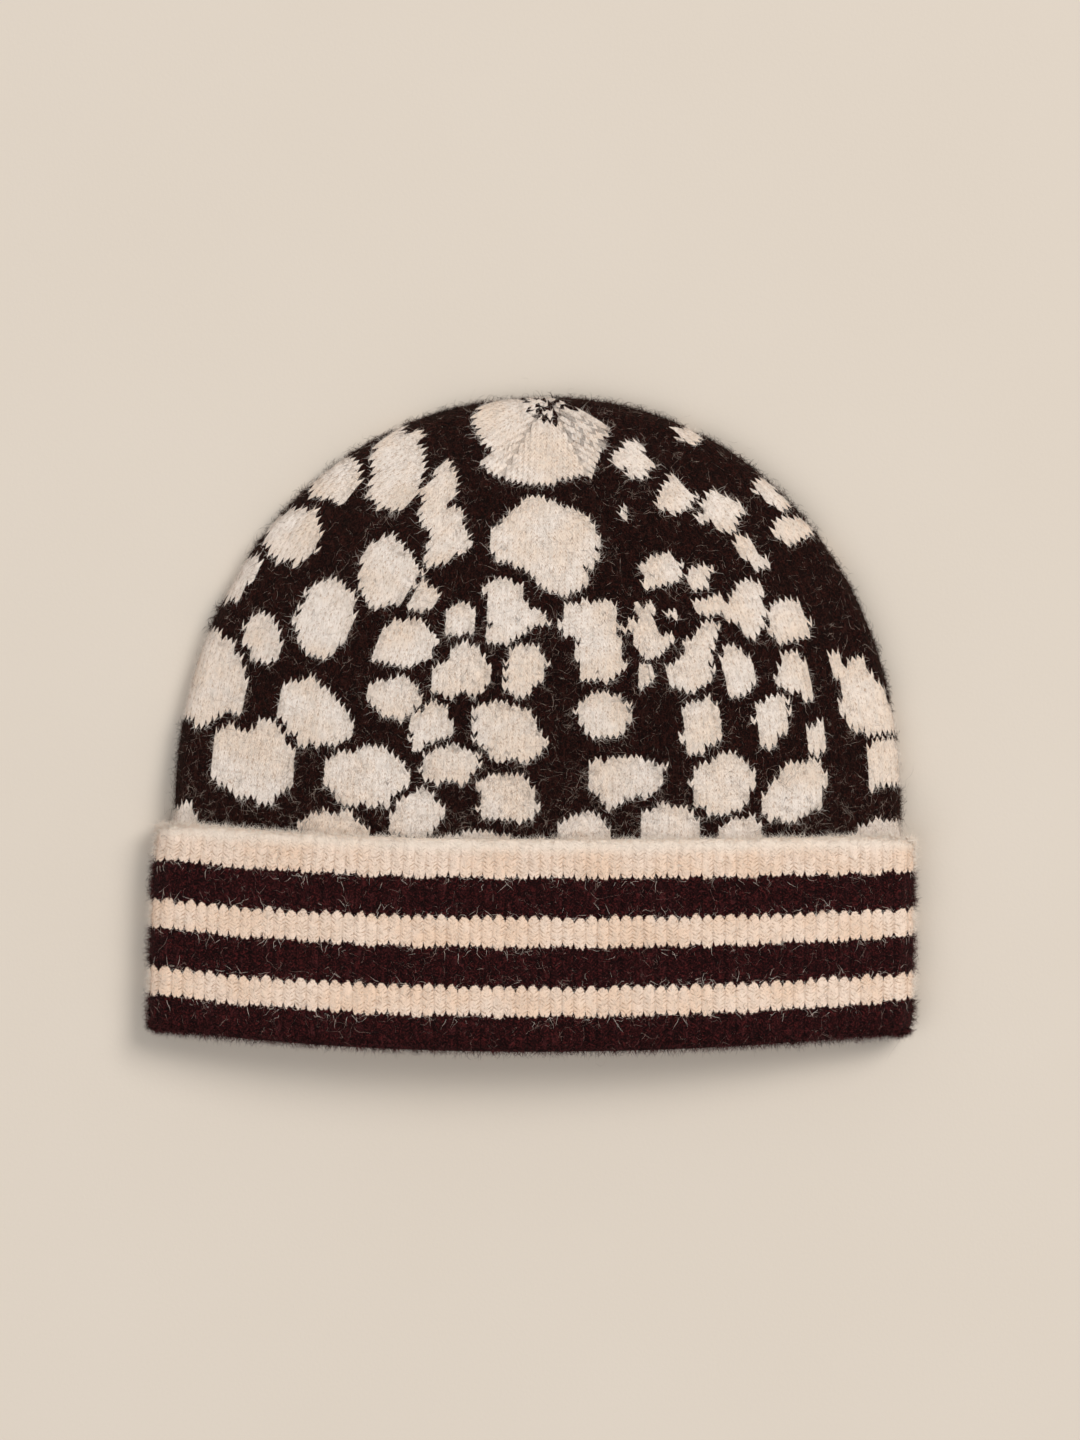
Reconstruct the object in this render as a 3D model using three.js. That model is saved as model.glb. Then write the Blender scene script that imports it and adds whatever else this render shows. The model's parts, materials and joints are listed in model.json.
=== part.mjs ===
// A knitted beanie lying flat: a fine-knit crown of six gores, and a ribbed band folded up into a cuff.
// Millimetres. X runs across the beanie, Y from its mouth to its tip, and Z up from the surface it lies on.
// The script first works in its own frame, with the cuff's fold at y = 0 and the cuff's middle at x = 0.
import * as THREE from 'three';

// Overall sizes, laid flat
const BEANIE_HEIGHT = 204; // from the cuff's fold to the tip
const CUFF_WIDTH = 240; // across the fold
const CUFF_HEIGHT = 66; // from the fold to the band's free edge
const CROWN_WIDTH = 227.5; // just above the cuff

// Cloth
const WALL = 2.4; // one layer of knit, ribs and loops included
const LAYER_GAP = 0.4; // air between the turned-up band and what it lies on
const SEAM_GAP = 0.3; // where the crown meets the band's inner layer
const CROWN_TUCK = 14; // how far the crown reaches down behind the cuff
const EDGE_RADIUS = 4.2; // the soft fold down each side, outside

// Plan of the crown
const CROWN_SHIFT = 2.25; // the crown leans this far towards +X
const TIP_SHIFT = 5.5; // the tip is off the cuff's middle by this
const DOME_START = { left: 70, right: 78 }; // where each side starts to curve in
const DOME_POWER = { left: 2.13, right: 2.06 }; // 2 would be a plain ellipse
const HEM_BOW = { left: 6.2, right: 5.1 }; // how far the fold's ends ride up
const HEM_CORNER = { left: 0.6, right: 1.8 }; // how far the fold's ends draw in,
const HEM_CORNER_HEIGHT = 7; // over this height
const BAND_TAPER = { height: 70, late: 0.65, power: 4 }; // its sides narrow to the crown, mostly near the top
const CUFF_TOP_BOW = { left: 4.5, right: 0.5 }; // the same for the free edge
const BOW_FADE = 60; // the bow dies out this far above the cuff

// How the soft body stands off the surface it lies on
const LOFT = 17.6; // the most that the upper sheet rises over the side folds
const SETTLE = 30; // beyond the cuff the lower sheet sinks to the surface over this length
const CUFF_FLARE = 1.2; // how far the free edge stands away from the crown
const FREE_EDGE_DROP = 2; // how far its ends are rounded down at the side folds
// height is a share of BEANIE_HEIGHT, and rise a share of LOFT
const LOFT_ALONG = [
  { height: 0, rise: 0.62 },
  { height: 0.32, rise: 0.7 },
  { height: 0.56, rise: 1 },
  { height: 0.8, rise: 0.72 },
  { height: 1, rise: 0 },
];
const LOFT_ACROSS_POWER = 3; // how far the rise keeps its height towards the sides
const LOFT_SHOULDER_POWER = 1.2;

// Ribs of the band
const RIB_PITCH = 3.7;
const RIB_RELIEF = 0.9; // groove under crest, outside
const RIB_RELIEF_INSIDE = 0.5;

// Gores: decreases run from the tip down to where the darts end, on both sheets
const SEAM_SHARE = 1 / 3; // of the half width
const SEAM_DEPTH = 0.8;
const SEAM_HALF_WIDTH = 4;
const DART_LENGTH = 84; // from the tip down
const DART_FADE = 16;

// Facets
const SHEET_COLUMNS = 24; // round each sheet of the crown
const OUTLINE_STEPS = 120; // along each side of the flat outline
const PROBE = 0.002; // step for normals, a share of a turn or of the height

// Rows of the crown, from its rim to just under the tip, as shares of the way between them
const OUTER_ROWS = [
  0, 0.05, 0.1, 0.145, 0.2, 0.27, 0.34, 0.41, 0.48, 0.55, 0.62, 0.69, 0.755, 0.81, 0.86, 0.9, 0.935, 0.962,
  0.981, 0.992, 0.998,
];
const INNER_ROWS = [0, 0.1, 0.2, 0.32, 0.44, 0.56, 0.67, 0.77, 0.85, 0.91, 0.955, 0.985, 0.998];

const TIP = [TIP_SHIFT, BEANIE_HEIGHT];
const LAYER_OFFSET = LAYER_GAP + WALL; // the cuff's outside stands this far off the core surface
const CROWN_RIM = CUFF_HEIGHT - CROWN_TUCK;

const clamp01 = (x) => Math.min(1, Math.max(0, x));
const smooth = (x) => clamp01(x) ** 2 * (3 - 2 * clamp01(x));
const mix = (a, b, t) => a + (b - a) * t;

// One side of the flat outline, from the fold up to where the dome starts
const mouthHalf = CUFF_WIDTH / 2 - LAYER_OFFSET;
const sides = {
  left: { sign: -1, crownX: -CROWN_WIDTH / 2 + CROWN_SHIFT },
  right: { sign: 1, crownX: CROWN_WIDTH / 2 + CROWN_SHIFT },
};

// The dome's quarter outline, sampled evenly by length
for (const [name, side] of Object.entries(sides)) {
  const start = DOME_START[name];
  const reachX = side.crownX - TIP_SHIFT;
  const reachY = BEANIE_HEIGHT - start;
  const points = [];
  for (let k = 0; k <= OUTLINE_STEPS; k += 1) {
    const turn = (k / OUTLINE_STEPS) * (Math.PI / 2);
    const x = TIP_SHIFT + reachX * Math.cos(turn) ** (2 / DOME_POWER[name]);
    const y = start + reachY * Math.sin(turn) ** (2 / DOME_POWER[name]);
    points.push(new THREE.Vector3(k === OUTLINE_STEPS ? TIP_SHIFT : x, y, 0));
  }
  side.start = start;
  side.dome = evenly(points, OUTLINE_STEPS);
}

function evenly(points, steps) {
  const reached = [0];
  for (let k = 1; k < points.length; k += 1) {
    reached.push(reached[k - 1] + points[k].distanceTo(points[k - 1]));
  }
  const total = reached[reached.length - 1];
  const even = [];
  let k = 1;
  for (let step = 0; step <= steps; step += 1) {
    const wanted = (total * step) / steps;
    while (k < points.length - 1 && reached[k] < wanted) k += 1;
    const part = clamp01((wanted - reached[k - 1]) / (reached[k] - reached[k - 1]));
    even.push(new THREE.Vector3().lerpVectors(points[k - 1], points[k], part));
  }
  return even;
}

// Where the flat outline runs on one side, level with the middle's height
function silhouette(name, height) {
  const side = sides[name];
  if (height <= side.start) {
    const up = clamp01(height / BAND_TAPER.height);
    const corner = HEM_CORNER[name] * clamp01(1 - height / HEM_CORNER_HEIGHT) ** 2;
    const taper = mix(up, up ** BAND_TAPER.power, BAND_TAPER.late);
    return [mix(side.sign * mouthHalf, side.crownX, taper) - side.sign * corner, height];
  }
  const along = clamp01((height - side.start) / (BEANIE_HEIGHT - side.start)) * OUTLINE_STEPS;
  const k = Math.min(OUTLINE_STEPS - 1, Math.floor(along));
  const p = new THREE.Vector3().lerpVectors(side.dome[k], side.dome[k + 1], along - k);
  return [p.x, p.y];
}

function bow(name, height) {
  const up = clamp01(height / CUFF_HEIGHT);
  const fade = 1 - smooth((height - CUFF_HEIGHT) / BOW_FADE);
  return mix(HEM_BOW[name], CUFF_TOP_BOW[name], up) * fade;
}

// Plan position: across runs from -1 on the left outline to 1 on the right one
function plan(across, height) {
  const name = across < 0 ? 'left' : 'right';
  const [edgeX, edgeY] = silhouette(name, height);
  const middleX = TIP_SHIFT * clamp01(height / BEANIE_HEIGHT) ** 2;
  const x = middleX + (edgeX - middleX) * Math.abs(across);
  const y = height + (edgeY - height + bow(name, height)) * across ** 2;
  return [x, y];
}

const outline = [];
for (const across of [-1, 1]) {
  const line = [];
  for (let k = 0; k <= 2 * OUTLINE_STEPS; k += 1) {
    line.push(plan(across, (BEANIE_HEIGHT * k) / (2 * OUTLINE_STEPS)));
  }
  outline.push(line);
}

// How far a plan position is from the outline, at most the side folds' radius
function toOutline(x, y) {
  let best = EDGE_RADIUS ** 2;
  for (const line of outline) {
    for (let k = 1; k < line.length; k += 1) {
      const [ax, ay] = line[k - 1];
      const [bx, by] = line[k];
      const [dx, dy] = [bx - ax, by - ay];
      if (Math.abs(ax - x) > EDGE_RADIUS + Math.abs(dx)) continue;
      if (Math.abs(ay - y) > EDGE_RADIUS + Math.abs(dy)) continue;
      const t = clamp01(((x - ax) * dx + (y - ay) * dy) / (dx * dx + dy * dy));
      best = Math.min(best, (ax + t * dx - x) ** 2 + (ay + t * dy - y) ** 2);
    }
  }
  return Math.sqrt(best);
}

const loftCurve = new THREE.CubicInterpolant(
  LOFT_ALONG.map((row) => row.height),
  LOFT_ALONG.map((row) => row.rise),
  1,
);

function loftAlong(height) {
  return LOFT * Math.max(0, loftCurve.evaluate(clamp01(height / BEANIE_HEIGHT))[0]);
}

// The core surface: the outside of the crown and of the band's inner layer.
// turn goes once round: 0 is the right side fold, a quarter the upper sheet's middle, a half the left fold.
function core(turn, height) {
  const angle = turn * 2 * Math.PI;
  const across = Math.cos(angle);
  const [x, y] = plan(across, height);
  const round = EDGE_RADIUS * Math.sqrt(1 - (1 - toOutline(x, y) / EDGE_RADIUS) ** 2);
  const under = LAYER_OFFSET * (1 - smooth((height - CUFF_HEIGHT) / SETTLE));
  const middle = under + EDGE_RADIUS;
  if (Math.sin(angle) < 0) return new THREE.Vector3(x, y, middle - round);
  const rise = loftAlong(height) * (1 - Math.abs(across) ** LOFT_ACROSS_POWER) ** LOFT_SHOULDER_POWER;
  return new THREE.Vector3(x, y, middle + round + rise);
}

function coreNormal(turn, height) {
  const step = PROBE * BEANIE_HEIGHT;
  const low = Math.max(0, height - step);
  const high = Math.min(BEANIE_HEIGHT - PROBE, height + step);
  const round = core(turn + PROBE, height).sub(core(turn - PROBE, height));
  const along = core(turn, high).sub(core(turn, low));
  return round.cross(along).normalize().negate();
}

// A point that stands off the core surface, outwards if off is above zero
function standOff(turn, height, off) {
  return core(turn, height).addScaledVector(coreNormal(turn, height), off);
}

// Skins the rings into one closed body. A ring of one point is a pole, and a closed loft joins its ends.
function loft(rings, joined) {
  const positions = [];
  const firsts = rings.map((ring) => {
    const first = positions.length / 3;
    for (const p of ring) positions.push(p.x, p.y, p.z);
    return first;
  });
  const index = [];
  const spans = joined ? rings.length : rings.length - 1;
  for (let r = 0; r < spans; r += 1) {
    const next = (r + 1) % rings.length;
    const count = Math.max(rings[r].length, rings[next].length);
    const at = (ring, k) => firsts[ring] + (k % rings[ring].length);
    for (let k = 0; k < count; k += 1) {
      if (rings[r].length > 1) index.push(at(r, k), at(r, k + 1), at(next, k));
      if (rings[next].length > 1) index.push(at(r, k + 1), at(next, k + 1), at(next, k));
    }
  }
  if (volume(positions, index) < 0) index.reverse();
  const geometry = new THREE.BufferGeometry();
  geometry.setAttribute('position', new THREE.Float32BufferAttribute(positions, 3));
  geometry.setIndex(index);
  geometry.computeVertexNormals();
  return geometry;
}

function volume(positions, index) {
  const corner = (i) => new THREE.Vector3().fromArray(positions, 3 * index[i]);
  let sum = 0;
  for (let i = 0; i < index.length; i += 3) {
    sum += corner(i).dot(corner(i + 1).cross(corner(i + 2)));
  }
  return sum / 6;
}

// The crown: one bag with a true hollow, closed at the tip
function makeCrown() {
  const crownHalf = CROWN_WIDTH / 2;
  const seamLines = [-SEAM_SHARE, SEAM_SHARE].flatMap((s) =>
    [-2, -1, 0, 1, 2].map((k) => s + (k * SEAM_HALF_WIDTH) / crownHalf / 2),
  );
  const clear = SEAM_HALF_WIDTH / crownHalf / 2;
  const even = [];
  for (let k = 0; k <= SHEET_COLUMNS; k += 1) {
    const across = Math.cos((k / SHEET_COLUMNS) * Math.PI);
    const crowded = seamLines.some((s) => Math.abs(s - across) < clear);
    if (!crowded) even.push(across);
  }
  const across = [...even, ...seamLines].sort((a, b) => b - a);
  const upper = across.map((s) => Math.acos(Math.max(-1, Math.min(1, s))) / (2 * Math.PI));
  const lower = upper.slice(1, -1).map((turn) => 1 - turn);
  const turns = [...upper, ...lower.reverse()];

  const seam = (turn, height) => {
    const offLine = Math.abs(Math.abs(Math.cos(turn * 2 * Math.PI)) - SEAM_SHARE) * crownHalf;
    const ends = smooth((height - (BEANIE_HEIGHT - DART_LENGTH)) / DART_FADE);
    return SEAM_DEPTH * ends * clamp01(1 - offLine / SEAM_HALF_WIDTH);
  };
  const height = (share) => mix(CROWN_RIM, BEANIE_HEIGHT, share);
  const ring = (share, off, dent) =>
    turns.map((turn) => standOff(turn, height(share), off - dent * seam(turn, height(share))));
  const tip = new THREE.Vector3(TIP[0], TIP[1], EDGE_RADIUS);
  const innerTip = tip.clone().setY(TIP[1] - WALL);
  return loft(
    [
      [innerTip],
      ...[...INNER_ROWS].reverse().map((share) => ring(share, -WALL, 0)),
      ...OUTER_ROWS.map((share) => ring(share, 0, 1)),
      [tip],
    ],
    false,
  );
}

// Places round the core at equal distances along it, at one height
function equalTurns(count, height) {
  const fine = 1440;
  const reached = [0];
  let last = core(0, height);
  for (let k = 1; k <= fine; k += 1) {
    const p = core(k / fine, height);
    reached.push(reached[k - 1] + p.distanceTo(last));
    last = p;
  }
  const turns = [];
  let k = 1;
  for (let i = 0; i < count; i += 1) {
    const wanted = (reached[fine] * i) / count;
    while (reached[k] < wanted) k += 1;
    turns.push((k - 1 + (wanted - reached[k - 1]) / (reached[k] - reached[k - 1])) / fine);
  }
  return turns;
}

// The band: an inner layer up to the crown's rim, the fold, and the outer layer turned up over both
function makeCuff() {
  const middle = CUFF_HEIGHT / 2;
  let girth = 0;
  const sampleTurns = equalTurns(180, middle);
  sampleTurns.forEach((turn, i) => {
    const next = sampleTurns[(i + 1) % sampleTurns.length];
    girth += standOff(turn, middle, LAYER_OFFSET).distanceTo(standOff(next, middle, LAYER_OFFSET));
  });
  const ribs = Math.round(girth / RIB_PITCH);
  const turns = equalTurns(2 * ribs, middle);

  const foldRadius = WALL + LAYER_GAP / 2;
  const foldMiddle = LAYER_GAP / 2;
  const slotEnd = foldRadius + SEAM_GAP;
  const innerTop = CROWN_RIM - SEAM_GAP;
  const edge = WALL / 2; // the free edge's rounding
  const flare = (turn, height) => {
    const facing = coreNormal(turn, height).z;
    return CUFF_FLARE * clamp01(height / CUFF_HEIGHT) ** 2 * smooth((1 + facing) / 0.7);
  };
  const drop = (turn, height) => {
    const ends = smooth((Math.abs(Math.cos(turn * 2 * Math.PI)) - 0.95) / 0.05);
    return FREE_EDGE_DROP * ends * clamp01(height / CUFF_HEIGHT) ** 8;
  };
  const ring = (off, height, { relief = 0, flared = 0 } = {}) =>
    turns.map((turn, i) => {
      const groove = i % 2 === 1 ? relief : 0;
      const at = height - flared * drop(turn, height);
      return standOff(turn, at, off + flared * flare(turn, height) - groove);
    });
  const outside = { relief: RIB_RELIEF, flared: 1 };
  const halfTurn = foldRadius * Math.SQRT1_2;
  return loft(
    [
      ring(-WALL, innerTop, { relief: -RIB_RELIEF_INSIDE }),
      ring(-WALL, foldRadius, { relief: -RIB_RELIEF_INSIDE }),
      ring(foldMiddle - halfTurn, foldRadius - halfTurn, { relief: 0 }),
      ring(foldMiddle, 0),
      ring(foldMiddle + halfTurn, foldRadius - halfTurn, { relief: RIB_RELIEF / 2 }),
      ring(LAYER_OFFSET, foldRadius, outside),
      ring(LAYER_OFFSET, middle, outside),
      ring(LAYER_OFFSET, CUFF_HEIGHT - edge, outside),
      ring(LAYER_OFFSET - edge, CUFF_HEIGHT, { relief: 0, flared: 1 }),
      ring(LAYER_GAP, CUFF_HEIGHT - edge / 2, { relief: 0, flared: 1 }),
      ring(LAYER_GAP, slotEnd),
      ring(0, slotEnd),
      ring(0, innerTop),
    ],
    true,
  );
}

const jacquard = new THREE.MeshStandardMaterial({ color: 0x2a1a15, roughness: 0.95, metalness: 0 });
const rib = new THREE.MeshStandardMaterial({ color: 0xe0c6ad, roughness: 0.95, metalness: 0 });

const beanie = new THREE.Group();
for (const [name, geometry, material] of [
  ['crown', makeCrown(), jacquard],
  ['cuff', makeCuff(), rib],
]) {
  const mesh = new THREE.Mesh(geometry, material);
  mesh.name = name;
  beanie.add(mesh);
}

// The origin is the middle of the footprint, on the surface that the beanie lies on
const box = new THREE.Box3().setFromObject(beanie);
const centre = box.getCenter(new THREE.Vector3());
beanie.position.set(-centre.x, -centre.y, -box.min.z);

export default beanie;
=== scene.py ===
"""A knitted beanie lying flat: spotted two-colour crown, striped ribbed cuff, and a brushed surface.

Shapes are worked out in millimetres with the cuff's fold at y = 0, as in the solids, and built in metres.
"""
import json
import math

import bpy
import numpy as np
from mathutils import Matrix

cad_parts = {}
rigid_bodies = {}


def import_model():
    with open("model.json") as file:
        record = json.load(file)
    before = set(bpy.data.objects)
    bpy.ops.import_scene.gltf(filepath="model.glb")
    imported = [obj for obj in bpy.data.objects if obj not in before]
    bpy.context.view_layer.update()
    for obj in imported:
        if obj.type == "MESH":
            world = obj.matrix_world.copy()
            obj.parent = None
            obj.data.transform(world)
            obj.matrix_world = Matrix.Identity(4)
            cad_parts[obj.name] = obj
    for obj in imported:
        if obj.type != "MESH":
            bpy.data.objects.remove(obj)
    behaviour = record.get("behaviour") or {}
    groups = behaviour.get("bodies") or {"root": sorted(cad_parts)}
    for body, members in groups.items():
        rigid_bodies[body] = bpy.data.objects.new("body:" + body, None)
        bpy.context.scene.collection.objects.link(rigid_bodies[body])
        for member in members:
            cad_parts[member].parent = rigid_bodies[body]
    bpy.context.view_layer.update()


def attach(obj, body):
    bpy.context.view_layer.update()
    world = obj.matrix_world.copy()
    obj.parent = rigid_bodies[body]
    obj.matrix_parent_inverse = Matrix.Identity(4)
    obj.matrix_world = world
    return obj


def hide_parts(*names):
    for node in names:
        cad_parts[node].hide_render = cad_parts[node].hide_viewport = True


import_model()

# The body, as in the solids
BEANIE_HEIGHT = 204.0
CUFF_WIDTH = 240.0
CUFF_HEIGHT = 66.0
CROWN_WIDTH = 227.5
WALL = 2.4
LAYER_GAP = 0.4
SEAM_GAP = 0.3
CROWN_TUCK = 14.0
EDGE_RADIUS = 4.2
CROWN_SHIFT = 2.25
TIP_SHIFT = 5.5
DOME_START = {"left": 70.0, "right": 78.0}
DOME_POWER = {"left": 2.13, "right": 2.06}
HEM_BOW = {"left": 6.2, "right": 5.1}
HEM_CORNER = {"left": 0.6, "right": 1.8}
HEM_CORNER_HEIGHT = 7.0
TAPER_HEIGHT, TAPER_LATE, TAPER_POWER = 70.0, 0.65, 4
CUFF_TOP_BOW = {"left": 4.5, "right": 0.5}
BOW_FADE = 60.0
LOFT = 17.6
SETTLE = 30.0
CUFF_FLARE = 1.2
FREE_EDGE_DROP = 2.0
LOFT_ALONG = [(0, 0.62), (0.32, 0.7), (0.56, 1), (0.8, 0.72), (1, 0)]  # share of height, share of loft
RIB_PITCH = 3.7
RIB_RELIEF = 0.9
RIB_RELIEF_INSIDE = 0.5
SEAM_SHARE = 1 / 3
SEAM_DEPTH = 0.8
SEAM_HALF_WIDTH = 4.0
DART_LENGTH = 84.0
DART_FADE = 16.0
LAYER_OFFSET = LAYER_GAP + WALL
CROWN_RIM = CUFF_HEIGHT - CROWN_TUCK
MIDDLE_X, MIDDLE_Y = 0.4234, BEANIE_HEIGHT / 2  # the middle of the footprint

# The knit
GORES = 6
WALES = 42  # in each gore, at the rim
COURSE = 1.25
TOOTH = 1.5  # how far a stitch's legs climb over its foot
CREASE_SHADE = 0.3  # how much painted shade darkens the cream in the darts' creases
WALE_RELIEF = 0.15
RIB_COLUMNS = 6
RIB_ROW = 1.6
LIP_HEIGHT, LIP_SMOOTHING = 6.0, 0.65  # the ribs fade under the free edge
COMB = (0.38, 0.2, 0.05, 0, 0.05, 0.2)  # depth of a rib's columns, as shares of the relief
INSIDE_ROWS = (0.998, 0.985, 0.955, 0.91, 0.85, 0.77, 0.67, 0.56, 0.44, 0.32, 0.2, 0.1, 0)
INSIDE_TONE = 0.3  # share of cream
UNEVEN_HEIGHT, UNEVEN_TURN, UNEVEN_SURFACE = 0.14, 0.0002, 0.05  # how unevenly the crown's stitches lie

# The stage. The camera looks straight down. Places and sizes in metres, light in watts.
CAMERA_HEIGHT = 1.0737
CAMERA_LENS = 85.0
CAMERA_XY = (0.00255, 0.0006)
CAMERA_REACH = 20
FLOOR_SIZE, FLOOR_DROP = 30, 0.0004
FLOOR_COLOURS = (0.665, 0.59, 0.51), (0.69, 0.618, 0.542)
LIGHTS = [  # name, place, size, power, colour
    ("key", (3.75, 3.05, 5.1), 3.3, 338, (1, 0.98, 0.945)),
    ("fill", (-3.1, -2.0, 5.0), 4.6, 120, (0.96, 0.98, 1)),
]
SKY_COLOUR, SKY_POWER = (1, 0.985, 0.96), 0.42

# The spots' chart, as seen from the camera's place, in millimetres
CHART_MIDDLE, CHART_SCALE = (2.97, 104.15), 0.9876
LOOSE_EDGE = 0.2  # how unevenly the stitches follow an outline
SIDE_SHARE = 0.86  # beyond this share of the width the front's spots go on round the side folds
GATHER_SHARE = 0.55  # how much of the gathered tip is cream
THIN_SHARE, THIN_COVER, FULL_COVER = 0.35, 0.5, 0.93  # how many stitches are thin, and what each covers
# Spots of the back: from, to and apart, up and across, then their radius, unevenness, height and jitter
BACK_ROWS, BACK_COLUMNS = (70, 200, 21), (-110, 116, 23)
BACK_SIZE, BACK_UNEVEN, BACK_TALL, BACK_JITTER = (6.5, 11.5), (0.88, 1.08), (0.8, 1.25), (-4, 4)

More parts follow.
